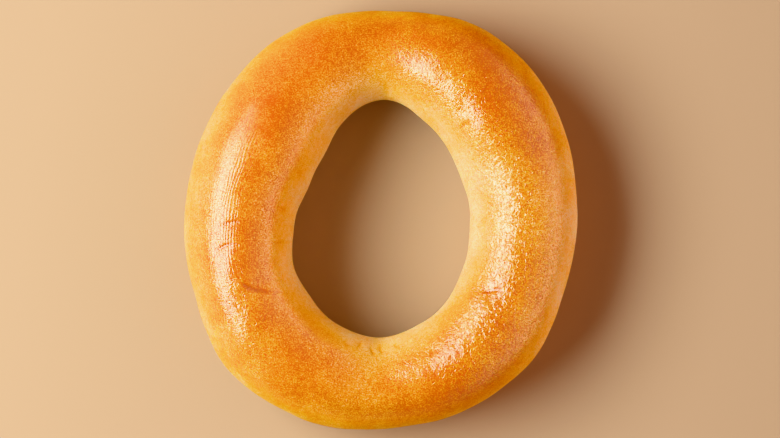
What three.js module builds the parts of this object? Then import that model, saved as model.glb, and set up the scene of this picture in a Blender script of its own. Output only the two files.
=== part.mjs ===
// A plain glazed ring bagel: one rope of dough, rolled by hand, closed into a ring, proved until it
// settled on a small flat sole, and baked. Millimetres, +Z up. The sole lies on z = 0, and the
// ring's box is centred on the Z axis. Bearings run clockwise from +Y, as seen from above.

import * as THREE from "three";
import { ParametricGeometry } from "three/addons/geometries/ParametricGeometry.js";

// How far the ring's two edges lie from its centre and how high its crest is, at sixteen even
// bearings. The rope is thin where the ring is longest, fat at the shoulders and highest on the -X
// side, and the hole narrows towards +Y.
const OUTER_EDGE = [55.5, 57, 56.5, 54, 52, 52.5, 54.5, 55.5, 56, 57.5, 57, 53.5, 52.5, 52.5, 54.5, 56];
const HOLE_EDGE = [32, 28.5, 25.5, 24, 23.5, 24.5, 26.5, 29.5, 31.5, 30.5, 28, 25.5, 23, 21.5, 23, 27.5];
const CREST = [23, 26.5, 27.5, 27, 26.5, 26.5, 27.5, 27, 25, 27.5, 30, 31, 31.5, 31.5, 30.5, 27];

// The rope's section: a crown over the waist, fuller outside than towards the hole, and an
// underside that rolls in to the sole.
const WAIST_SHARE = 0.45; // height of the widest line, as a share of the crest's height
const SOLE_SHARE = 0.44; // width of the flat sole, as a share of the rope's width
const OUTER_FULLNESS = 2.05; // exponent of the crown's curve outside, where 2 is an ellipse
const HOLE_FULLNESS = 1.85; // the same towards the hole
const RELIEF_STARTS = 0.045; // share of the height from which the skin's relief grows, up to the waist

// Slow swells left by rolling and proving: how many run round the ring and round the section, where
// each one starts, in turns, and how high it stands, in mm.
const SWELLS = [
  { alongRing: 3, roundRope: 1, start: 0.15, height: 0.22 },
  { alongRing: 7, roundRope: -1, start: 0.6, height: 0.16 },
  { alongRing: 11, roundRope: 2, start: 0.35, height: 0.12 },
];

// Hollows pressed or creased into the skin. A roll of 0 degrees is the outer waist, 90 the crown
// and 180 the waist in the hole. Reaches and depths are in mm.
const HOLLOWS = [
  { bearing: 181, roll: 140, alongReach: 4.5, roundReach: 6, depth: 0.8 }, // where the ends were joined
  { bearing: 3, roll: 146, alongReach: 4, roundReach: 5, depth: 0.6 }, // fold at the hole's narrow end
  { bearing: 41, roll: 124, alongReach: 3.2, roundReach: 5, depth: 0.6 },
  { bearing: 35, roll: 112, alongReach: 2.6, roundReach: 4, depth: 0.4 },
  { bearing: 124, roll: 112, alongReach: 3.2, roundReach: 7, depth: 0.6 },
  { bearing: 160, roll: 118, alongReach: 4, roundReach: 4, depth: 0.4 },
  { bearing: 241, roll: 102, alongReach: 2.8, roundReach: 6, depth: 0.5 },
  { bearing: 260, roll: 72, alongReach: 2.6, roundReach: 4, depth: 0.35 },
];

// How finely the surface is divided.
const STEPS_ALONG_RING = 108;
const CROWN_STEPS = 24;
const UNDERSIDE_STEPS = 6; // on each side
const SOLE_STEPS = 4;
const STEPS_ROUND_ROPE = CROWN_STEPS + 2 * UNDERSIDE_STEPS + SOLE_STEPS;

const CRUST = { color: 0xe08a24, roughness: 0.35, metalness: 0 };

// A smooth closed curve through evenly spaced values, at a place given in turns.
function onLoop(values, turns) {
  const place = THREE.MathUtils.euclideanModulo(turns, 1) * values.length;
  const first = Math.floor(place);
  const share = place - first;
  const near = (offset) => values[THREE.MathUtils.euclideanModulo(first + offset, values.length)];
  const [before, from, to, after] = [near(-1), near(0), near(1), near(2)];
  const slopeFrom = (to - before) / 2;
  const slopeTo = (after - from) / 2;
  const curve = 3 * (to - from) - 2 * slopeFrom - slopeTo;
  const twist = 2 * (from - to) + slopeFrom + slopeTo;
  return from + share * (slopeFrom + share * (curve + share * twist));
}

// A point of the section, round the rope from the outer waist over the crown: how far across it
// lies, from -1 in the hole to +1 outside, and how high, as a share of the crest's height.
function onSection(turns) {
  const step = THREE.MathUtils.euclideanModulo(turns, 1) * STEPS_ROUND_ROPE;
  const soleFrom = CROWN_STEPS + UNDERSIDE_STEPS;
  const soleTo = soleFrom + SOLE_STEPS;
  if (step <= CROWN_STEPS) {
    const roll = (Math.PI * step) / CROWN_STEPS;
    const power = 2 / (Math.cos(roll) < 0 ? HOLE_FULLNESS : OUTER_FULLNESS);
    const across = Math.sign(Math.cos(roll)) * Math.abs(Math.cos(roll)) ** power;
    return { across, height: WAIST_SHARE + (1 - WAIST_SHARE) * Math.sin(roll) ** power, roll };
  }
  if (step > soleFrom && step < soleTo) {
    const across = SOLE_SHARE * ((2 * (step - soleFrom)) / SOLE_STEPS - 1);
    return { across, height: 0, roll: 1.5 * Math.PI };
  }
  const side = step <= soleFrom ? -1 : 1;
  const stepsBelowWaist = side < 0 ? step - CROWN_STEPS : STEPS_ROUND_ROPE - step;
  const under = (stepsBelowWaist / UNDERSIDE_STEPS) * (Math.PI / 2);
  const across = side * (SOLE_SHARE + (1 - SOLE_SHARE) * Math.cos(under));
  const height = WAIST_SHARE * (1 - Math.sin(under));
  return { across, height, roll: side < 0 ? Math.PI + under : -under };
}

// How far the skin stands out, in mm, from the even rope. It fades away towards the sole.
function relief(bearing, roll, ringRadius, ropeRadius, height) {
  const swell = SWELLS.reduce((sum, wave) => {
    const angle = wave.alongRing * bearing + wave.roundRope * roll;
    return sum + wave.height * Math.sin(angle + 2 * Math.PI * wave.start);
  }, 0);
  const hollow = HOLLOWS.reduce((sum, press) => {
    const turned = bearing - THREE.MathUtils.degToRad(press.bearing);
    const along = Math.atan2(Math.sin(turned), Math.cos(turned)) * ringRadius;
    const round = (roll - THREE.MathUtils.degToRad(press.roll)) * ropeRadius;
    const away = (along / press.alongReach) ** 2 + (round / press.roundReach) ** 2;
    return sum + press.depth * Math.exp(-away);
  }, 0);
  return (swell - hollow) * THREE.MathUtils.smoothstep(height, RELIEF_STARTS, WAIST_SHARE);
}

// The ring's surface, over turns round the rope and turns round the ring.
function onRing(ropeTurns, ringTurns, point) {
  const bearing = 2 * Math.PI * ringTurns;
  const outer = onLoop(OUTER_EDGE, ringTurns);
  const hole = onLoop(HOLE_EDGE, ringTurns);
  const crest = onLoop(CREST, ringTurns);
  const halfWidth = (outer - hole) / 2;
  const middle = (outer + hole) / 2;
  const { across, height, roll } = onSection(ropeTurns);
  const sideways = across * halfWidth;
  const upwards = (height - WAIST_SHARE) * crest;
  const reach = Math.hypot(sideways, upwards);
  const grown = 1 + relief(bearing, roll, middle, halfWidth, height) / reach;
  const radius = middle + sideways * grown;
  const top = WAIST_SHARE * crest + upwards * grown;
  point.set(radius * Math.sin(bearing), radius * Math.cos(bearing), top);
}

function makeBagel() {
  const geometry = new ParametricGeometry(onRing, STEPS_ROUND_ROPE, STEPS_ALONG_RING);
  geometry.computeBoundingBox();
  const centre = geometry.boundingBox.getCenter(new THREE.Vector3());
  geometry.translate(-centre.x, -centre.y, -geometry.boundingBox.min.z);
  const mesh = new THREE.Mesh(geometry, new THREE.MeshStandardMaterial(CRUST));
  mesh.name = "bagel";
  return mesh;
}

const part = new THREE.Group();
part.add(makeBagel());

export default part;
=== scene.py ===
"""A ring bagel with an egg-washed crust, lying on a pale floor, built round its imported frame.

One rope of dough is swept round an uneven ring, crumpled and creased by Geometry Nodes, and baked in
colour from a pale waist to an amber crown. Lengths are in metres. Bearings are in degrees and run
clockwise from +Y as seen from above. A roll, also in degrees, goes round the rope: 0 is the outer
waist, 90 the crown and 180 the waist in the hole.
"""

import logging
import math
from dataclasses import dataclass, field
from enum import Enum
from typing import Union

import bpy
from mathutils import Matrix, Vector


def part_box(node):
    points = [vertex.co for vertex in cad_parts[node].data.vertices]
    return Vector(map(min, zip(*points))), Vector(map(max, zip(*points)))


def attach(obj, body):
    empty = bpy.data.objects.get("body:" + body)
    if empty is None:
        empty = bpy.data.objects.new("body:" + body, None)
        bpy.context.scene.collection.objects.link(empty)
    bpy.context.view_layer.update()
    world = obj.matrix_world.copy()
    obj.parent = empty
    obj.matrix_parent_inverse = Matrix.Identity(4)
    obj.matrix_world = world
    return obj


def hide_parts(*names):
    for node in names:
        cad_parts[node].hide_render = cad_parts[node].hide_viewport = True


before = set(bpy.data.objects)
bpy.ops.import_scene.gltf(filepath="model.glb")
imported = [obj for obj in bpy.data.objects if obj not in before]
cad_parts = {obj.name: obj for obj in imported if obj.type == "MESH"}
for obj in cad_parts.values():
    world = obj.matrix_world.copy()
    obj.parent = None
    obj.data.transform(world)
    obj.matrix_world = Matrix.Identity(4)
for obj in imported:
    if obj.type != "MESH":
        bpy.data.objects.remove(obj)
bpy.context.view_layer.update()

LOG = logging.getLogger("bagel")

MM = 0.001
FULL_TURN = 2 * math.pi

Term = Union["Wire", float, int, bool, str, tuple, bpy.types.ID]


# --- Nodes written as sums -------------------------------------------------------------------------


class Wire:
    """A value on its way between two nodes, which Python's own signs put into sums."""

    def __init__(self, bench: "Bench", socket: bpy.types.NodeSocket) -> None:
        """Remembers the bench that lays the nodes and the socket that the value comes out of."""
        self.bench = bench
        self.socket = socket

    def __add__(self, other: Term) -> "Wire":
        """Adds a term."""
        return self.bench.math("ADD", self, other)

    def __sub__(self, other: Term) -> "Wire":
        """Takes a term away."""
        return self.bench.math("SUBTRACT", self, other)

    def __rsub__(self, other: Term) -> "Wire":
        """Is taken away from a term."""
        return self.bench.math("SUBTRACT", other, self)

    def __mul__(self, other: Term) -> "Wire":
        """Multiplies by a term."""
        return self.bench.math("MULTIPLY", self, other)

    def __truediv__(self, other: Term) -> "Wire":
        """Divides by a term."""
        return self.bench.math("DIVIDE", self, other)

    def __rtruediv__(self, other: Term) -> "Wire":
        """Divides a term."""
        return self.bench.math("DIVIDE", other, self)

    def __pow__(self, other: Term) -> "Wire":
        """Is raised to a power."""
        return self.bench.math("POWER", self, other)

    def __mod__(self, other: Term) -> "Wire":
        """Is wrapped into the range from 0 to a term."""
        return self.bench.math("FLOORED_MODULO", self, other)

    def __abs__(self) -> "Wire":
        """Loses its sign."""
        return self.bench.math("ABSOLUTE", self)

    __radd__ = __add__
    __rmul__ = __mul__


class Bench:
    """Lays nodes in one tree and joins them, for shapes and for colours alike."""

    SPACING = 190
    ROWS = 14

    def __init__(self, tree: bpy.types.NodeTree) -> None:
        """Starts on an empty tree."""
        self.tree = tree
        self.laid = 0

    def node(self, kind: str, settings: dict | None = None, feeds: dict | None = None) -> bpy.types.Node:
        """Lays one node.

        Args:
            kind: Blender's name for the kind of node.
            settings: Options to set on the node, by name.
            feeds: Terms for its inputs, by the input's name or number.

        Returns:
            The node.
        """
        made = self.tree.nodes.new(kind)
        made.location = (self.laid // self.ROWS * self.SPACING, -(self.laid % self.ROWS) * self.SPACING)
        self.laid += 1
        for name, value in (settings or {}).items():
            setattr(made, name, value)
        for name, term in (feeds or {}).items():
            self.feed(made.inputs[name], term)
        return made

    def feed(self, socket: bpy.types.NodeSocket, term: Term) -> None:
        """Joins a wire to an input, or sets a plain value on it.

        Args:
            socket: The input.
            term: The wire or the value.
        """
        if isinstance(term, Wire):
            self.tree.links.new(term.socket, socket)
        else:
            socket.default_value = term

    def value(
        self, kind: str, settings: dict | None = None, feeds: dict | None = None, out: int | str = 0
    ) -> Wire:
        """Lays one node and picks up one of its outputs.

        Args:
            kind: Blender's name for the kind of node.
            settings: Options to set on the node, by name.
            feeds: Terms for its inputs, by the input's name or number.
            out: The output's name or number.

        Returns:
            A wire from that output.
        """
        return Wire(self, self.node(kind, settings, feeds).outputs[out])

    def math(self, operation: str, *terms: Term) -> Wire:
        """Works out one sum of numbers."""
        return self.value("ShaderNodeMath", {"operation": operation}, dict(enumerate(terms)))

    def vector(self, operation: str, *terms: Term, out: int | str = 0) -> Wire:
        """Works out one sum of vectors."""
        return self.value("ShaderNodeVectorMath", {"operation": operation}, dict(enumerate(terms)), out)

    def scaled(self, vector: Term, factor: Term) -> Wire:
        """Makes a vector longer or shorter by a factor."""
        return self.value("ShaderNodeVectorMath", {"operation": "SCALE"}, {0: vector, "Scale": factor})

    def combine(self, x: Term, y: Term, z: Term) -> Wire:
        """Puts three numbers together as a vector."""
        return self.value("ShaderNodeCombineXYZ", feeds={0: x, 1: y, 2: z})

    def clamped(self, value: Term, low: float = 0.0, high: float = 1.0) -> Wire:
        """Keeps a number between two others."""
        return self.math("MINIMUM", self.math("MAXIMUM", value, low), high)

    def blend(self, share: Term, first: Term, second: Term) -> Wire:
        """Goes from a first number to a second one as the share goes from 0 to 1."""
        return self.value("ShaderNodeMix", feeds={0: share, 2: first, 3: second})

    def fade(self, value: Term, start: float, end: float) -> Wire:
        """Rises smoothly from 0 to 1.

        Args:
            value: What is measured.
            start: The value at which the result is 0.
            end: The value at which the result is 1. It may be smaller than start.

        Returns:
            A number from 0 to 1.
        """
        feeds = {"Value": value, "From Min": start, "From Max": end}
        return self.value("ShaderNodeMapRange", {"interpolation_type": "SMOOTHSTEP"}, feeds)

    def cloud(self, place: Term, grain: float, detail: float = 0.0, stir: float = 0.0) -> Wire:
        """Makes a cloudy pattern that swings to both sides of 0.

        Args:
            place: Where each point of the pattern lies, in metres.
            grain: The distance between clouds, in metres.
            detail: How many finer layers lie over the first.
            stir: How much the pattern is stirred.

        Returns:
            A number that stays mostly between -0.3 and 0.3.
        """
        feeds = {"Vector": place, "Scale": 1 / grain, "Detail": detail, "Distortion": stir}
        return self.value("ShaderNodeTexNoise", feeds=feeds) - 0.5

    def worms(self, place: Term, grain: float, width: float, stir: float) -> Wire:
        """Makes winding ridges of even height.

        Args:
            place: Where each point of the pattern lies, in metres.
            grain: About twice the distance between ridges, in metres.
            width: How far the pattern's clouds swing within one ridge.
            stir: How much the ridges wind.

        Returns:
            1 along the middle of each ridge, 0 between ridges.
        """
        return self.fade(abs(self.cloud(place, grain, detail=1.0, stir=stir)), width, 0.0)


class ShapeBench(Bench):
    """A bench for a Geometry Nodes tree with named inputs for its sizes."""

    SOCKETS = {float: "NodeSocketFloat", int: "NodeSocketInt"}

    def __init__(self, name: str) -> None:
        """Starts a tree whose first input and only output are a geometry.

        Args:
            name: The tree's name.
        """
        super().__init__(bpy.data.node_groups.new(name, "GeometryNodeTree"))
        self.tree.interface.new_socket("Geometry", in_out="INPUT", socket_type="NodeSocketGeometry")
        self.tree.interface.new_socket("Geometry", in_out="OUTPUT", socket_type="NodeSocketGeometry")
        self.entry = self.node("NodeGroupInput")
        self.settings: dict[str, Term] = {}

    def inlet(self, name: str, value: Term, kind: str = "") -> Wire:
        """Adds a named input, and keeps the value that the modifier will give it.

        Args:
            name: The input's name.
            value: The value for this object.
            kind: Blender's name for the socket, where the value's own type doesn't say it.

        Returns:
            A wire from the input.
        """
        kind = kind or self.SOCKETS[type(value)]
        socket = self.tree.interface.new_socket(name, in_out="INPUT", socket_type=kind)
        self.settings[socket.identifier] = value
        return Wire(self, self.entry.outputs[name])

    def geometry(self) -> Wire:
        """Picks up the geometry that the tree starts from."""
        return Wire(self, self.entry.outputs["Geometry"])

    def finish(self, geometry: Wire) -> None:
        """Sends a geometry out of the tree."""
        self.feed(self.node("NodeGroupOutput").inputs["Geometry"], geometry)

    def stored(self, name: str) -> Wire:
        """Reads a number that the points keep."""
        return self.value("GeometryNodeInputNamedAttribute", {"data_type": "FLOAT"}, {"Name": name})

    def store(self, geometry: Wire, name: str, value: Wire, kind: str = "FLOAT") -> Wire:
        """Keeps a value on every point of a geometry.

        Args:
            geometry: The geometry.
            name: The attribute's name.
            value: What each point keeps.
            kind: Blender's name for the type of the attribute.

        Returns:
            The geometry with the attribute.
        """
        feeds = {"Geometry": geometry, "Name": name, "Value": value}
        return self.value("GeometryNodeStoreNamedAttribute", {"data_type": kind, "domain": "POINT"}, feeds)

    def run(self, target: bpy.types.Object) -> bpy.types.Mesh:
        """Runs the tree on an object.

        Args:
            target: The object that the tree starts from.

        Returns:
            The resulting plain mesh. The object keeps no modifier.
        """
        modifier = target.modifiers.new(self.tree.name, "NODES")
        modifier.node_group = self.tree
        for identifier, value in self.settings.items():
            modifier[identifier] = value
        evaluated = target.evaluated_get(bpy.context.evaluated_depsgraph_get())
        mesh = bpy.data.meshes.new_from_object(evaluated)
        target.modifiers.remove(modifier)
        return mesh


# --- The bagel's shape -----------------------------------------------------------------------------


@dataclass(frozen=True)
class RingPlan:
    """How far the ring's two edges lie from its centre and how high its crest is, in mm, at even bearings."""

    outer_edge: tuple[float, ...] = (
        55.5, 57, 56.5, 54, 52, 52.5, 54.5, 55.5, 56, 57.5, 57, 53.5, 52.5, 52.5, 54.5, 56)
    hole_edge: tuple[float, ...] = (
        32, 28.5, 25.5, 24, 23.5, 24.5, 26.5, 29.5, 31.5, 30.5, 28, 25.5, 23, 21.5, 23, 27.5)
    crest: tuple[float, ...] = (
        23, 26.5, 27.5, 27, 26.5, 26.5, 27.5, 27, 25, 27.5, 30, 31, 31.5, 31.5, 30.5, 27)

    @property
    def mean_radius(self) -> float:
        """How far the rope's middle lies from the ring's centre, on average."""
        edges = self.outer_edge + self.hole_edge
        return sum(edges) / len(edges) * MM

    @staticmethod
    def on_loop(values: tuple[float, ...], turns: float) -> float:
        """Follows a smooth closed curve through evenly spaced values.

        Args:
            values: The values, in mm.
            turns: Where to read the curve, in turns from the first value.

        Returns:
            The curve's value there, in metres.
        """
        place = turns % 1 * len(values)
        first = int(place)
        share = place - first
        before, start, end, after = (values[(first + offset) % len(values)] for offset in (-1, 0, 1, 2))
        slope_start = (end - before) / 2
        slope_end = (after - start) / 2
        curve = 3 * (end - start) - 2 * slope_start - slope_end
        twist = 2 * (start - end) + slope_start + slope_end
        return (start + share * (slope_start + share * (curve + share * twist))) * MM

    def path(self, steps: int) -> bpy.types.Object:
        """Draws the line that the dough rope follows.

        Args:
            steps: How many even steps of bearing go round the ring.

        Returns:
            A closed line whose points keep their bearing, the two edges and the crest's height there.
        """
        turns = [step / steps for step in range(steps)]
        outer = [self.on_loop(self.outer_edge, turn) for turn in turns]
        hole = [self.on_loop(self.hole_edge, turn) for turn in turns]
        crest = [self.on_loop(self.crest, turn) for turn in turns]
        points = [
            Matrix.Rotation(-FULL_TURN * turn, 3, "Z") @ Vector((0, (far + near) / 2, 0))
            for turn, far, near in zip(turns, outer, hole)
        ]
        mesh = bpy.data.meshes.new("rope_path")
        mesh.from_pydata(points, [(step, (step + 1) % steps) for step in range(steps)], [])
        kept = {"bearing": [FULL_TURN * turn for turn in turns], "outer": outer, "hole": hole, "crest": crest}
        for name, values in kept.items():
            mesh.attributes.new(name, "FLOAT", "POINT").data.foreach_set("value", values)
        return bpy.data.objects.new("rope_path", mesh)


@dataclass(frozen=True)
class RopeSection:
    """The rope's section: a crown that is fuller outside than towards the hole, rolling in to a flat sole.

    The waist and the heights at which relief begins are shares of the crest's height. The sole is a
    share of the rope's width. A fullness is the exponent of the crown's curve, where 2 is an ellipse.
    """

    mean_width: float = 28 * MM
    waist_share: float = 0.45
    sole_share: float = 0.44
    outer_fullness: float = 2.05
    hole_fullness: float = 1.85
    relief_starts: float = 0.045
    wrinkles_start: float = 0.0225
    wrinkles_full: float = 0.225
    crown_steps: int = 100
    underside_steps: int = 10
    sole_steps: int = 12


@dataclass(frozen=True)
class Swell:
    """A slow wave left by rolling and proving. Its height is in mm, and its start in turns."""

    along_ring: int
    round_rope: int
    start: float
    height: float


@dataclass(frozen=True)
class Patch:
    """A soft-edged oval on the skin, with its reach along the ring and round the rope in mm."""

    bearing: float
    roll: float
    along: float
    round: float
    strength: float


class Mark(Enum):
    """What the skin shows where a set of patches lies. Hollows and lumps have their strength in mm."""

    HOLLOW = "hollow"  # pressed in while the dough was soft
    LUMP = "lump"  # risen a little higher
    BROWNED = "browned"  # baked further than the skin around
    # Some pale patches are painted light: a shaded outer rim made paler, and paler spots standing in for weak
    # highlights.
    PALE = "pale"  # baked less
    DULL = "dull"  # missed by some of the egg wash
    WINDING = "winding"  # fine wrinkles that wind about
    RIBBED = "ribbed"  # fine even ribs along the rope
    STREAKED = "streaked"  # wrinkles stretched round the rope


@dataclass(frozen=True)
class Crease:
    """A thin fold in the skin, through points of bearing and roll. Its depth and width are in mm."""

    points: tuple[tuple[float, float], ...]
    depth: float
    width: float = 0.42


SWELLS = (
    Swell(along_ring=3, round_rope=1, start=0.15, height=0.22),
    Swell(along_ring=7, round_rope=-1, start=0.6, height=0.16),
    Swell(along_ring=11, round_rope=2, start=0.35, height=0.12),
)

PATCHES = {
    Mark.HOLLOW: (
        Patch(181, 140, along=4.5, round=6, strength=0.8),  # where the ends were joined
        Patch(3, 146, along=4, round=5, strength=0.6),  # fold at the hole's narrow end
        Patch(41, 124, along=3.2, round=5, strength=0.6),
        Patch(35, 112, along=2.6, round=4, strength=0.4),
        Patch(124, 112, along=3.2, round=7, strength=0.6),
        Patch(160, 118, along=4, round=4, strength=0.4),
        Patch(241, 102, along=2.8, round=6, strength=0.5),
        Patch(260, 72, along=2.6, round=4, strength=0.35),
    ),
    Mark.LUMP: (
        Patch(228, 56, along=12, round=7, strength=0.5),
        Patch(38, 114, along=16, round=8, strength=1.3),
        Patch(52, 100, along=12, round=12, strength=0.6),
    ),
    Mark.BROWNED: (
        Patch(24, 38, along=20, round=9, strength=0.17),
        Patch(46, 99, along=9, round=6, strength=0.1),
        Patch(160, 36, along=18, round=8, strength=0.15),
        Patch(340, 54, along=28, round=10, strength=0.09),
        Patch(318, 84, along=12, round=6, strength=0.06),
        Patch(212, 80, along=9, round=9, strength=0.09),
        Patch(30, 136, along=10, round=7, strength=0.06),
        Patch(135, 135, along=22, round=5, strength=0.08),
        Patch(275, 104, along=36, round=9, strength=0.07),
        Patch(305, 116, along=20, round=7, strength=0.07),
        Patch(210, 135, along=9, round=6, strength=0.08),
        Patch(0, 168, along=8, round=4, strength=0.06),
        Patch(121, 92, along=13, round=8, strength=0.11),
        Patch(54, 74, along=13, round=9, strength=0.1),
        Patch(158, 128, along=22, round=9, strength=0.05),
        Patch(224, 112, along=24, round=8, strength=0.05),
        Patch(196, 22, along=24, round=7, strength=0.05),
        # Single flecks.
        Patch(275.6, 142, along=0.8, round=1.1, strength=0.2),
        Patch(257.4, 143, along=0.6, round=1.8, strength=0.16),
        Patch(317, 76, along=1.6, round=2.6, strength=0.12),
        Patch(45, 79, along=1.8, round=2.2, strength=0.1),
        Patch(56.5, 135, along=0.9, round=0.9, strength=0.14),
    ),
    Mark.PALE: (
        Patch(92, 94, along=25, round=22, strength=0.11),
        # Painted light: the shaded outer rim on the right side is made paler in place of fill light.
        Patch(88, 34, along=30, round=9, strength=0.13),
        Patch(120, 48, along=12, round=8, strength=0.04),
        Patch(28, 106, along=11, round=5, strength=0.06),
        # Painted highlight: a paler spot where the right strand's highlight is weak.
        Patch(61, 122, along=10, round=7, strength=0.14),
        # Painted highlights: paler spots where the left strand's highlight is weak.
        Patch(287, 68, along=12, round=8, strength=0.16),
        Patch(225, 72, along=8, round=7, strength=0.12),
        Patch(188, 82, along=14, round=9, strength=0.12),
        Patch(350, 125, along=22, round=14, strength=0.08),
        Patch(12, 66, along=13, round=8, strength=0.05),
        Patch(136, 98, along=8, round=7, strength=0.05),
        # Painted highlight: a paler strip where the upper right highlight is weak.
        Patch(34, 122, along=14, round=5, strength=0.05),
        Patch(265, 46, along=34, round=13, strength=0.07),
    ),
    Mark.DULL: (
        Patch(320, 60, along=14, round=10, strength=0.6),
        Patch(305, 84, along=8, round=7, strength=0.6),
        Patch(350, 70, along=14, round=12, strength=0.4),
        Patch(165, 112, along=14, round=8, strength=0.4),
        Patch(52, 96, along=9, round=6, strength=0.5),
    ),
    Mark.WINDING: (
        Patch(30, 108, along=20, round=12, strength=0.4),
        Patch(88, 104, along=30, round=18, strength=1),
        Patch(135, 100, along=26, round=17, strength=0.8),
        Patch(238, 84, along=12, round=8, strength=0.7),
    ),
    Mark.RIBBED: (
        Patch(274, 84, along=26, round=6, strength=1),
        Patch(95, 92, along=20, round=8, strength=0.4),
    ),
    Mark.STREAKED: (
        Patch(150, 100, along=20, round=12, strength=1),
        Patch(182, 90, along=16, round=12, strength=0.8),
        Patch(30, 92, along=16, round=8, strength=0.7),
        Patch(238, 92, along=14, round=8, strength=0.5),
    ),
}

CREASES = (
    Crease(((269.8, 97), (269.2, 88), (268.5, 79), (267.8, 71)), depth=0.25),
    Crease(((260.2, 88), (260.6, 79), (259.8, 71), (258.8, 63)), depth=0.3),
    Crease(((246.5, 86), (243.5, 93), (240.8, 102), (238.5, 111), (236, 121)), depth=0.42, width=0.5),
    Crease(((306, 80), (307.5, 91), (309, 102)), depth=0.14, width=0.5),
    Crease(((238, 116), (235.5, 122), (234, 128)), depth=0.25),
    Crease(((35.2, 106), (35.4, 114), (34.6, 121)), depth=0.3),
    Crease(((42, 112), (41, 122), (40, 134)), depth=0.36),
    Crease(((39.5, 88), (38.5, 82), (37.8, 77)), depth=0.2),
    Crease(((161, 110), (159.5, 117), (157.5, 124)), depth=0.28),
    Crease(((127, 124), (124, 117), (121.5, 108), (120, 99)), depth=0.36, width=0.6),
    # Folds beside the join.
    Crease(((186, 150), (184, 140), (183.5, 130)), depth=0.3),
    Crease(((181, 154), (180.5, 144), (179, 134)), depth=0.26),
    Crease(((189, 156), (190, 146), (191.5, 138)), depth=0.24),
    Crease(((175, 152), (173.5, 144), (171.5, 138)), depth=0.22),
    # The edge of a small blister, in two halves.
    Crease(((89.4, 116), (89, 118.6), (88.2, 119.7), (87.4, 118.6), (87, 116)), depth=0.2, width=0.3),
    Crease(((87, 116), (87.4, 113.4), (88.2, 112.3), (89, 113.4), (89.4, 116)), depth=0.2, width=0.3),
)


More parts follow.
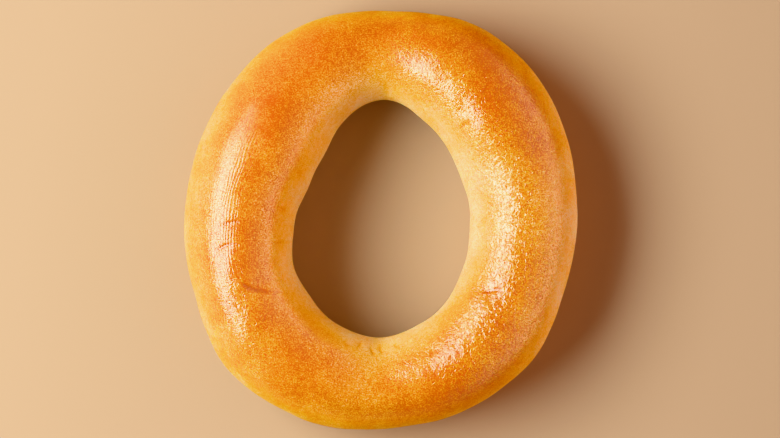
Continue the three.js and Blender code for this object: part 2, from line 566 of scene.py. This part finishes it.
@dataclass
class DoughRing:
    """The bagel's body: a rope of dough swept round the ring, with its skin crumpled and creased.

    The unrolled skin starts at the bearing of the smooth shoulder, where no crease lies. A crease as deep
    as shaded_depth gets its full painted shade in the crust's colour. The ring's centre is known once
    the ring has been built.
    """

    plan: RingPlan = field(default_factory=RingPlan)
    section: RopeSection = field(default_factory=RopeSection)
    steps_along: int = 750
    smooth_shoulder: float = 310.0
    crease_step: float = 0.3 * MM
    shaded_depth: float = 0.35 * MM
    lump_grain: float = 9 * MM
    lump_height: float = 0.5 * MM
    pucker_grain: float = 3 * MM
    pucker_height: float = 0.07 * MM
    winding_grain: float = 2.4 * MM
    winding_width: float = 0.2
    winding_stir: float = 0.6
    winding_height: float = 0.12 * MM
    streak_grain: float = 1.7 * MM
    streak_stir: float = 0.5
    streak_stretch: tuple[float, float, float] = (1, 1, 0.35)
    streak_height: float = 0.14 * MM
    name: str = "bagel_ring"
    centre: Vector = field(default_factory=Vector)

    def build(self, crust: bpy.types.Material) -> bpy.types.Object:
        """Makes the ring.

        Args:
            crust: The material of its skin.

        Returns:
            The ring's object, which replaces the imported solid.
        """
        path = self.plan.path(self.steps_along)
        creases = self._crease_lines()
        for helper in (path, creases):
            bpy.context.scene.collection.objects.link(helper)
        mesh = self._tree(creases, crust).run(path)
        for helper in (path, creases):
            bpy.data.objects.remove(helper)
        self._settle(mesh)
        mesh.name = self.name
        ring = bpy.data.objects.new(self.name, mesh)
        bpy.context.scene.collection.objects.link(ring)
        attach(ring, "root")
        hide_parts("bagel")
        return ring

    def _settle(self, mesh: bpy.types.Mesh) -> None:
        """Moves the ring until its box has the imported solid's middle and its sole is on the floor.

        Args:
            mesh: The ring's mesh.
        """
        corners = [point.co for point in mesh.vertices]
        low = Vector(min(corner[axis] for corner in corners) for axis in range(3))
        high = Vector(max(corner[axis] for corner in corners) for axis in range(3))
        solid_low, solid_high = (Vector(corner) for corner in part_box("bagel"))
        self.centre = (solid_low + solid_high) / 2 - (low + high) / 2
        self.centre.z = solid_low.z - low.z
        mesh.transform(Matrix.Translation(self.centre))

    def _crease_lines(self) -> bpy.types.Object:
        """Draws the creases on the skin unrolled flat: along the ring in x, and round the rope in y.

        Returns:
            Open lines whose points keep the crease's depth, which is 0 at both ends, and its width.
        """
        mesh = bpy.data.meshes.new("creases")
        points, edges, depths, widths = [], [], [], []
        for crease in CREASES:
            first = len(points)
            last = first + len(crease.points) - 1
            for bearing, roll in crease.points:
                along = math.radians((bearing - self.smooth_shoulder) % 360) * self.plan.mean_radius
                points.append((along, math.radians(roll) * self.section.mean_width / 2, 0))
            edges += [(number, number + 1) for number in range(first, last)]
            depths += [0.0] + [crease.depth * MM] * (last - first - 1) + [0.0]
            widths += [crease.width * MM] * len(crease.points)
        mesh.from_pydata(points, edges, [])
        mesh.attributes.new("depth", "FLOAT", "POINT").data.foreach_set("value", depths)
        mesh.attributes.new("width", "FLOAT", "POINT").data.foreach_set("value", widths)
        return bpy.data.objects.new("creases", mesh)

    def _tree(self, creases: bpy.types.Object, crust: bpy.types.Material) -> ShapeBench:
        """Builds the Geometry Nodes tree that sweeps, crumples and creases the rope.

        Args:
            creases: The lines of the creases, on the unrolled skin.
            crust: The material of the skin.

        Returns:
            The tree's bench, ready to run on the rope's path.
        """
        bench = ShapeBench("Sweep the dough ring")
        crown = bench.inlet("Crown steps", self.section.crown_steps)
        under = bench.inlet("Underside steps", self.section.underside_steps)
        sole = bench.inlet("Sole steps", self.section.sole_steps)
        steps = crown + under + under + sole
        path = bench.value("GeometryNodeMeshToCurve", feeds={"Mesh": bench.geometry()})
        loop = bench.value("GeometryNodeCurvePrimitiveCircle", feeds={"Resolution": steps})
        rope = bench.value("GeometryNodeCurveToMesh", feeds={"Curve": path, "Profile Curve": loop})
        step = bench.value("GeometryNodeInputIndex") % steps
        across, lift, roll = self._on_section(bench, step, crown, under, sole)
        rope = bench.store(rope, "across", across)
        rope = bench.store(rope, "lift", lift)
        rope = bench.store(rope, "roll", roll)
        rope = self._shape(bench, rope)
        rope = self._mark(bench, rope)
        rope = self._crumple(bench, rope, bench.inlet("Creases", creases, "NodeSocketObject"))
        rope = bench.value("GeometryNodeSetShadeSmooth", feeds={"Geometry": rope, "Shade Smooth": True})
        rope = bench.value("GeometryNodeRealizeInstances", feeds={"Geometry": rope})
        skin = bench.inlet("Crust", crust, "NodeSocketMaterial")
        bench.finish(bench.value("GeometryNodeSetMaterial", feeds={"Geometry": rope, "Material": skin}))
        return bench

    def _on_section(
        self, bench: ShapeBench, step: Wire, crown: Wire, under: Wire, sole: Wire
    ) -> tuple[Wire, Wire, Wire]:
        """Follows the section round the rope.

        Args:
            bench: The tree's bench.
            step: The number of steps from the outer waist, over the crown.
            crown: The steps over the crown.
            under: The steps from the waist to the sole, on each side.
            sole: The steps across the sole.

        Returns:
            How far across the point lies, from -1 in the hole to +1 outside, its height over the
            waist as a share of the rope's height, and its roll in radians.
        """
        waist_share = bench.inlet("Waist share", self.section.waist_share)
        sole_share = bench.inlet("Sole share", self.section.sole_share)
        outer_fullness = bench.inlet("Fullness outside", self.section.outer_fullness)
        hole_fullness = bench.inlet("Fullness in the hole", self.section.hole_fullness)
        crown_roll = math.pi * step / crown
        cosine = bench.math("COSINE", crown_roll)
        power = 2 / bench.blend(bench.math("LESS_THAN", cosine, 0), outer_fullness, hole_fullness)
        crown_across = bench.math("SIGN", cosine) * abs(cosine) ** power
        crown_lift = (1 - waist_share) * bench.math("MAXIMUM", bench.math("SINE", crown_roll), 0) ** power

        sole_end = crown + under + sole
        outside = bench.math("GREATER_THAN", step + 0.5, sole_end)
        below = bench.blend(outside, step - crown, sole_end + under - step)
        turned = bench.clamped(below / under) * (math.pi / 2)
        side = outside * 2 - 1
        on_sole = bench.clamped((step - crown - under) / sole * 2 - 1, -1)
        under_across = side * (1 - sole_share) * bench.math("COSINE", turned) + sole_share * on_sole
        under_lift = waist_share * bench.math("SINE", turned) * -1
        under_roll = bench.blend(outside, turned + math.pi, turned * -1)

        under_waist = bench.math("GREATER_THAN", step, crown + 0.5)
        across = bench.blend(under_waist, crown_across, under_across)
        lift = bench.blend(under_waist, crown_lift, under_lift)
        return across, lift, bench.blend(under_waist, crown_roll, under_roll)

    def _patches(self, bench: ShapeBench, mark: Mark) -> Wire:
        """Adds up the patches of one mark, as they lie on the skin.

        Args:
            bench: The tree's bench.
            mark: Which patches to add up.

        Returns:
            The sum of their strengths at each point.
        """
        ring_radius = (bench.stored("outer") + bench.stored("hole")) / 2
        rope_radius = (bench.stored("outer") - bench.stored("hole")) / 2
        total = None
        for patch in PATCHES[mark]:
            turned = bench.stored("bearing") - math.radians(patch.bearing)
            turned = bench.math("WRAP", turned, -math.pi, math.pi)
            along = turned * ring_radius / (patch.along * MM)
            round_rope = (bench.stored("roll") - math.radians(patch.roll)) * rope_radius / (patch.round * MM)
            spread = bench.math("EXPONENT", (along * along + round_rope * round_rope) * -1)
            total = spread * patch.strength if total is None else total + spread * patch.strength
        return total

    def _shape(self, bench: ShapeBench, rope: Wire) -> Wire:
        """Puts every point of the rope in its place on the ring, with its swells and hollows.

        Args:
            bench: The tree's bench.
            rope: The rope, whose points know their place on the section and on the path.

        Returns:
            The rope in its true form.
        """
        waist = self.section.waist_share
        bearing = bench.stored("bearing")
        width = bench.stored("outer") - bench.stored("hole")
        middle = (bench.stored("outer") + bench.stored("hole")) / 2
        sideways = bench.stored("across") * width / 2
        upwards = bench.stored("lift") * bench.stored("crest")
        relief = (self._patches(bench, Mark.LUMP) - self._patches(bench, Mark.HOLLOW)) * MM
        for swell in SWELLS:
            angle = bearing * swell.along_ring + bench.stored("roll") * swell.round_rope
            relief += bench.math("SINE", angle + FULL_TURN * swell.start) * (swell.height * MM)
        relief *= bench.fade(bench.stored("lift"), self.section.relief_starts - waist, 0)
        grown = 1 + relief / bench.math("SQRT", sideways * sideways + upwards * upwards)
        radius = middle + sideways * grown
        place = bench.combine(
            radius * bench.math("SINE", bearing),
            radius * bench.math("COSINE", bearing),
            waist * bench.stored("crest") + upwards * grown,
        )
        return bench.value("GeometryNodeSetPosition", feeds={"Geometry": rope, "Position": place})

    def _mark(self, bench: ShapeBench, rope: Wire) -> Wire:
        """Keeps on the skin what the crust's colours and finest wrinkles follow.

        Args:
            bench: The tree's bench.
            rope: The rope in its true form.

        Returns:
            The rope with its marks.
        """
        for mark in Mark:
            if mark not in (Mark.HOLLOW, Mark.LUMP):
                rope = bench.store(rope, mark.value, bench.clamped(self._patches(bench, mark)))
        bearing = bench.stored("bearing")
        place = bench.combine(
            bench.math("COSINE", bearing) * self.plan.mean_radius,
            bench.math("SINE", bearing) * self.plan.mean_radius,
            bench.stored("roll") * (self.section.mean_width / 2),
        )
        return bench.store(rope, "rope_place", place, "FLOAT_VECTOR")

    def _crumple(self, bench: ShapeBench, rope: Wire, creases: Wire) -> Wire:
        """Raises the skin's lumps and wrinkles and presses its creases.

        Args:
            bench: The tree's bench.
            rope: The rope with its marks.
            creases: The object that holds the lines of the creases.

        Returns:
            The finished rope.
        """
        here = bench.value("GeometryNodeInputPosition")
        lumps = bench.cloud(here, self.lump_grain) * bench.inlet("Lump height", self.lump_height)
        puckers = bench.cloud(here, self.pucker_grain, 1.0) * bench.inlet("Pucker height", self.pucker_height)
        worms = bench.worms(here, self.winding_grain, self.winding_width, self.winding_stir)
        worms *= bench.stored(Mark.WINDING.value)
        winding = worms * bench.inlet("Winding wrinkle height", self.winding_height)
        rope_place = bench.value(
            "GeometryNodeInputNamedAttribute", {"data_type": "FLOAT_VECTOR"}, {"Name": "rope_place"})
        long_way = bench.vector("MULTIPLY", rope_place, self.streak_stretch)
        streaks = bench.cloud(long_way, self.streak_grain, 1.0, self.streak_stir)
        streaks *= bench.stored(Mark.STREAKED.value)
        streaked = streaks * bench.inlet("Streak height", self.streak_height)
        depth, fold = self._fold(bench, creases)
        # The crease's darkness kept here is painted shade for the crust's colour.
        rope = bench.store(rope, "crease", fold)
        height = lumps + puckers + winding + streaked - depth
        waist = self.section.waist_share
        skin_starts, skin_full = self.section.wrinkles_start - waist, self.section.wrinkles_full - waist
        height *= bench.fade(bench.stored("lift"), skin_starts, skin_full)
        normal = bench.value("GeometryNodeInputNormal")
        feeds = {"Geometry": rope, "Offset": bench.scaled(normal, height)}
        return bench.value("GeometryNodeSetPosition", feeds=feeds)

    def _fold(self, bench: ShapeBench, creases: Wire) -> tuple[Wire, Wire]:
        """Works out how the creases press the skin.

        Args:
            bench: The tree's bench.
            creases: The object that holds the lines of the creases.

        Returns:
            How deep each point is pressed, in metres, and how much of a crease's painted shade its colour
            gets, from 0 to 1.
        """
        lines = bench.value("GeometryNodeObjectInfo", feeds={"Object": creases}, out="Geometry")
        lines = bench.value("GeometryNodeMeshToCurve", feeds={"Mesh": lines})
        lines = bench.value("GeometryNodeCurveSplineType", {"spline_type": "CATMULL_ROM"}, {"Curve": lines})
        lines = bench.value(
            "GeometryNodeCurveToPoints", {"mode": "LENGTH"}, {"Curve": lines, "Length": self.crease_step})
        turned = (bench.stored("bearing") - math.radians(self.smooth_shoulder)) % FULL_TURN
        round_rope = bench.stored("roll") * (self.section.mean_width / 2)
        flat = bench.combine(turned * self.plan.mean_radius, round_rope, 0)
        nearest = bench.value(
            "GeometryNodeSampleNearest", {"domain": "POINT"}, {"Geometry": lines, "Sample Position": flat})

        def along_crease(value: Wire, kind: str) -> Wire:
            """Reads a value at the nearest point of a crease."""
            feeds = {"Geometry": lines, "Value": value, "Index": nearest}
            return bench.value("GeometryNodeSampleIndex", {"data_type": kind, "domain": "POINT"}, feeds)

        line_place = along_crease(bench.value("GeometryNodeInputPosition"), "FLOAT_VECTOR")
        gap = bench.vector("DISTANCE", flat, line_place, out="Value")
        widths = gap / along_crease(bench.stored("width"), "FLOAT")
        groove = bench.math("EXPONENT", widths * widths * -1)
        depth = along_crease(bench.stored("depth"), "FLOAT")
        return depth * groove, groove * bench.clamped(depth / self.shaded_depth)


# --- The crust's finish ----------------------------------------------------------------------------


class SkinBench(Bench):
    """A bench for a material that follows what the skin's points keep."""

    def kept(self, name: str, out: str = "Fac") -> Wire:
        """Reads what the points keep under a name."""
        return self.value("ShaderNodeAttribute", {"attribute_name": name}, out=out)


@dataclass(frozen=True)
class EggWashedCrust:
    """A glossy crust, baked from cream at the waist through yellow and orange to amber.

    How far a place is baked picks its colour. The brownings and palings are how far each cause moves
    that, and crease_shade and the pore shades darken it with painted shade. A span is where a cause
    begins to show and where it shows in full: by roll, in degrees, for the rim and the hole, and else by
    height over the waist, as a share of the crest's height.
    """

    name: str = "egg_washed_crust"
    bake_colours: tuple[tuple[float, tuple[float, float, float]], ...] = (
        (0.0, (0.75, 0.60, 0.48)),
        (0.15, (0.76, 0.57, 0.37)),
        (0.3, (0.76, 0.46, 0.16)),
        (0.42, (0.70, 0.355, 0.022)),
        (0.55, (0.63, 0.232, 0.007)),
        (0.75, (0.50, 0.10, 0.002)),
    )
    crown_bake: float = 0.6
    crown_span: tuple[float, float] = (0.3, 0.5)
    hole_paling: float = 0.34
    hole_span: tuple[float, float] = (85, 165)
    rim_paling: float = 0.22
    rim_span: tuple[float, float] = (66, 10)
    underside_browning: float = 0.3
    underside_span: tuple[float, float] = (-0.3, -0.44)
    mottle_grain: float = 8 * MM
    mottle_browning: float = 0.4
    fleck_grain: float = 1.1 * MM
    fleck_browning: float = 0.24
    crease_shade: float = 0.28
    pore_shade_and_tone: float = 0.45
    crown_pore_shade_and_tone: float = 0.5

    pore_grain: float = 0.33 * MM
    pore_depth: float = 0.07 * MM
    rib_spacing: float = 0.75 * MM
    rib_grain: float = 3 * MM
    rib_stretch: tuple[float, float, float] = (0.25, 0.25, 1)
    rib_wander: float = 3.0
    rib_depth: float = 0.022 * MM
    worm_grain: float = 1.6 * MM
    worm_width: float = 0.16
    worm_stir: float = 0.8
    worm_depth: float = 0.1 * MM

    dry_roughness: float = 0.6
    dry_ior: float = 1.4
    dry_shine: float = 0.1
    washed_roughness: float = 0.3
    wash: float = 0.8
    wash_span: tuple[float, float] = (0.3, 0.47)
    wash_on_winding: float = 0.5
    wash_on_pores: float = 2.4
    least_wash: float = 0.1
    wash_roughness: float = 0.13
    wash_ior: float = 2.0
    glow: float = 0.6
    glow_colour: tuple[float, float, float] = (1.0, 0.4, 0.15)
    glow_reach: float = 1.6 * MM

    def material(self) -> bpy.types.Material:
        """Makes the crust's material.

        Returns:
            A material for a skin whose points keep their place on the rope and their marks.
        """
        made = bpy.data.materials.new(self.name)
        made.use_nodes = True
        made.node_tree.nodes.clear()
        bench = SkinBench(made.node_tree)
        here = bench.value("ShaderNodeTexCoord", out="Object")
        pores = bench.cloud(here, self.pore_grain, 0.5)
        bump = self._relief(bench, here, pores)
        gloss = bench.fade(bench.kept("lift"), *self.wash_span) * (1 - bench.kept(Mark.DULL.value))
        wash = self.wash + bench.kept(Mark.WINDING.value) * self.wash_on_winding + pores * self.wash_on_pores
        shader = bench.value("ShaderNodeBsdfPrincipled", feeds={
            "Base Color": self._colour(bench, here, pores),
            "Roughness": bench.blend(gloss, self.dry_roughness, self.washed_roughness),
            "IOR": self.dry_ior,
            "Specular IOR Level": self.dry_shine,
            "Coat Weight": gloss * bench.clamped(wash, self.least_wash),
            "Coat Roughness": self.wash_roughness,
            "Coat IOR": self.wash_ior,
            "Normal": bump,
            "Coat Normal": bump,
            "Subsurface Weight": self.glow,
            "Subsurface Radius": self.glow_colour,
            "Subsurface Scale": self.glow_reach,
        })
        bench.node("ShaderNodeOutputMaterial", feeds={"Surface": shader})
        return made

    def _colour(self, bench: SkinBench, here: Wire, pores: Wire) -> Wire:
        """Works out how far each place is baked, with painted shade in creases and in the grain's pits, and
        its colour.

        Args:
            bench: The material's bench.
            here: The place on the ring.
            pores: How far the finest grain stands out.

        Returns:
            The crust's colour.
        """
        in_the_hole = bench.fade(bench.kept("roll"), *map(math.radians, self.hole_span))
        round_the_rim = bench.fade(bench.kept("roll"), *map(math.radians, self.rim_span))
        underneath = bench.fade(bench.kept("lift"), *self.underside_span)
        crown = bench.fade(bench.kept("lift"), *self.crown_span)
        bake = self.crown_bake - in_the_hole * self.hole_paling - round_the_rim * self.rim_paling
        bake += underneath * self.underside_browning
        # The pale patches include painted light on a shaded rim and painted highlights.
        bake += bench.kept(Mark.BROWNED.value) - bench.kept(Mark.PALE.value)
        bake += bench.cloud(here, self.mottle_grain, detail=4.0, stir=0.4) * self.mottle_browning
        bake += bench.cloud(here, self.fleck_grain, detail=1.0) * self.fleck_browning
        # Painted shade: the creases are darkened in the colour.
        bake += bench.kept("crease") * self.crease_shade
        # Painted shade with some real fleck colour: the grain's low places, its pits, are darker, more so on
        # the crown.
        bake -= pores * (self.pore_shade_and_tone + crown * self.crown_pore_shade_and_tone)
        ramp = bench.node("ShaderNodeValToRGB", feeds={"Fac": bake})
        while len(ramp.color_ramp.elements) < len(self.bake_colours):
            ramp.color_ramp.elements.new(0.5)
        for stop, (position, colour) in zip(ramp.color_ramp.elements, self.bake_colours):
            stop.position = position
            stop.color = (*colour, 1)
        return Wire(bench, ramp.outputs["Color"])

    def _relief(self, bench: SkinBench, here: Wire, pores: Wire) -> Wire:
        """Raises the skin's finest grain, ribs and wrinkles.

        Args:
            bench: The material's bench.
            here: The place on the ring.
            pores: How far the finest grain stands out.

        Returns:
            The direction that each place faces.
        """
        rope_place = bench.kept("rope_place", out="Vector")
        round_rope = bench.value("ShaderNodeSeparateXYZ", feeds={0: rope_place}, out="Z")
        stretched = bench.vector("MULTIPLY", rope_place, self.rib_stretch)
        wander = bench.cloud(stretched, self.rib_grain, detail=1.0) * self.rib_wander
        ribs = bench.math("SINE", (round_rope / self.rib_spacing + wander) * FULL_TURN)
        worms = bench.worms(here, self.worm_grain, self.worm_width, self.worm_stir)
        height = pores * self.pore_depth
        height += ribs * bench.kept(Mark.RIBBED.value) * self.rib_depth
        height += worms * bench.kept(Mark.WINDING.value) * self.worm_depth
        feeds = {"Strength": 1.0, "Distance": MM, "Height": height / MM}
        return bench.value("ShaderNodeBump", feeds=feeds, out="Normal")


# --- The studio ------------------------------------------------------------------------------------


@dataclass(frozen=True)
class SoftLight:
    """An oval lamp that faces the middle of the floor. Its bearing and elevation are in degrees."""

    name: str
    bearing: float
    elevation: float
    distance: float
    width: float
    height: float
    power: float
    colour: tuple[float, float, float] = (1.0, 1.07, 0.8)

    def build(self) -> bpy.types.Object:
        """Hangs the lamp in its place.

        Returns:
            The lamp's object.
        """
        data = bpy.data.lights.new(self.name, "AREA")
        data.shape = "ELLIPSE"
        data.size = self.width
        data.size_y = self.height
        data.energy = self.power
        data.color = self.colour
        lamp = bpy.data.objects.new(self.name, data)
        turned, raised = math.radians(self.bearing), math.radians(self.elevation)
        away = Vector((
            math.sin(turned) * math.cos(raised), math.cos(turned) * math.cos(raised), math.sin(raised)))
        lamp.location = away * self.distance
        lamp.rotation_euler = away.to_track_quat("Z", "Y").to_euler()
        bpy.context.scene.collection.objects.link(lamp)
        return lamp


@dataclass
class Studio:
    """A plain pale floor, two soft lamps over one another and a camera that looks straight down.

    The room's own light is far_air from most sides and side_air from the side that the lamps leave
    dark. It is brighter by a share of low_air where that side meets the floor. A span is where a light
    begins to show and where it shows in full, by the X or the Z of the direction that it comes from.
    The frame's width is measured at mid_height.
    """

    lamps: tuple[SoftLight, ...] = (
        SoftLight("key", bearing=276, elevation=41.5, distance=0.85, width=0.98, height=0.66, power=6.2),
        SoftLight(
            "key_strip", bearing=276, elevation=42.5, distance=0.84, width=1.05, height=0.42, power=9.4),
    )
    far_air: tuple[float, float, float] = (0.12, 0.075, 0.07)
    side_air: tuple[float, float, float] = (1.5, 0.94, 0.62)
    side_span: tuple[float, float] = (0.05, 1.0)
    low_air: float = 1.05
    low_span: tuple[float, float] = (0.45, 0.05)
    view_transform: str = "Khronos PBR Neutral"
    exposure: float = 0.12
    floor_colour: tuple[float, float, float] = (0.42, 0.289, 0.232)
    floor_roughness: float = 0.9
    floor_reach: float = 3.0
    frame_width: float = 208 * MM
    frame_offset: tuple[float, float] = (2.13 * MM, 0.13 * MM)
    mid_height: float = 12 * MM
    camera_distance: float = 1.1
    sensor_width: float = 36.0

    def build(self, ring_centre: Vector) -> None:
        """Sets the stage.

        Args:
            ring_centre: Where the ring's centre lies, which the camera's place is measured from.
        """
        self._floor()
        for lamp in self.lamps:
            lamp.build()
        self._air()
        bpy.context.scene.view_settings.view_transform = self.view_transform
        bpy.context.scene.view_settings.exposure = self.exposure
        self._camera(ring_centre)

    def _air(self) -> None:
        """Fills the room with a weak warm light, most of it from the side across from the lamps."""
        world = bpy.data.worlds.new("studio_air")
        world.use_nodes = True
        world.node_tree.nodes.clear()
        bench = Bench(world.node_tree)
        direction = bench.value("ShaderNodeTexCoord", out="Generated")
        sideways = bench.value("ShaderNodeSeparateXYZ", feeds={0: direction}, out="X")
        upwards = bench.value("ShaderNodeSeparateXYZ", feeds={0: direction}, out="Z")
        side = bench.fade(sideways, *self.side_span)
        low = bench.fade(upwards, *self.low_span)
        feeds = {0: side, 6: (*self.far_air, 1), 7: (*self.side_air, 1)}
        colour = bench.value("ShaderNodeMix", {"data_type": "RGBA"}, feeds, out=2)
        strength = 1 + side * low * self.low_air
        light = bench.value("ShaderNodeBackground", feeds={"Color": colour, "Strength": strength})
        bench.node("ShaderNodeOutputWorld", feeds={"Surface": light})
        bpy.context.scene.world = world

    def _floor(self) -> None:
        """Lays the floor."""
        mesh = bpy.data.meshes.new("floor")
        reach = self.floor_reach
        corners = [(-reach, -reach, 0), (reach, -reach, 0), (reach, reach, 0), (-reach, reach, 0)]
        mesh.from_pydata(corners, [], [(0, 1, 2, 3)])
        paint = bpy.data.materials.new("floor_paper")
        paint.use_nodes = True
        shader = paint.node_tree.nodes["Principled BSDF"]
        shader.inputs["Base Color"].default_value = (*self.floor_colour, 1)
        shader.inputs["Roughness"].default_value = self.floor_roughness
        mesh.materials.append(paint)
        floor = bpy.data.objects.new("floor", mesh)
        bpy.context.scene.collection.objects.link(floor)

    def _camera(self, ring_centre: Vector) -> None:
        """Points the camera straight down at the ring.

        Args:
            ring_centre: Where the ring's centre lies.
        """
        data = bpy.data.cameras.new("camera")
        data.sensor_width = self.sensor_width
        data.lens = self.sensor_width * self.camera_distance / self.frame_width
        camera = bpy.data.objects.new("camera", data)
        camera.location = (
            ring_centre.x + self.frame_offset[0],
            ring_centre.y + self.frame_offset[1],
            self.mid_height + self.camera_distance,
        )
        bpy.context.scene.collection.objects.link(camera)
        bpy.context.scene.camera = camera


def main() -> None:
    """Builds the bagel and its studio, and reports each piece."""
    logging.basicConfig(level=logging.INFO, format="%(message)s")
    crust = EggWashedCrust().material()
    ring = DoughRing()
    piece = ring.build(crust)
    LOG.info("%s: %d faces", piece.name, len(piece.data.polygons))
    Studio().build(ring.centre)


if __name__ == "__main__":
    main()
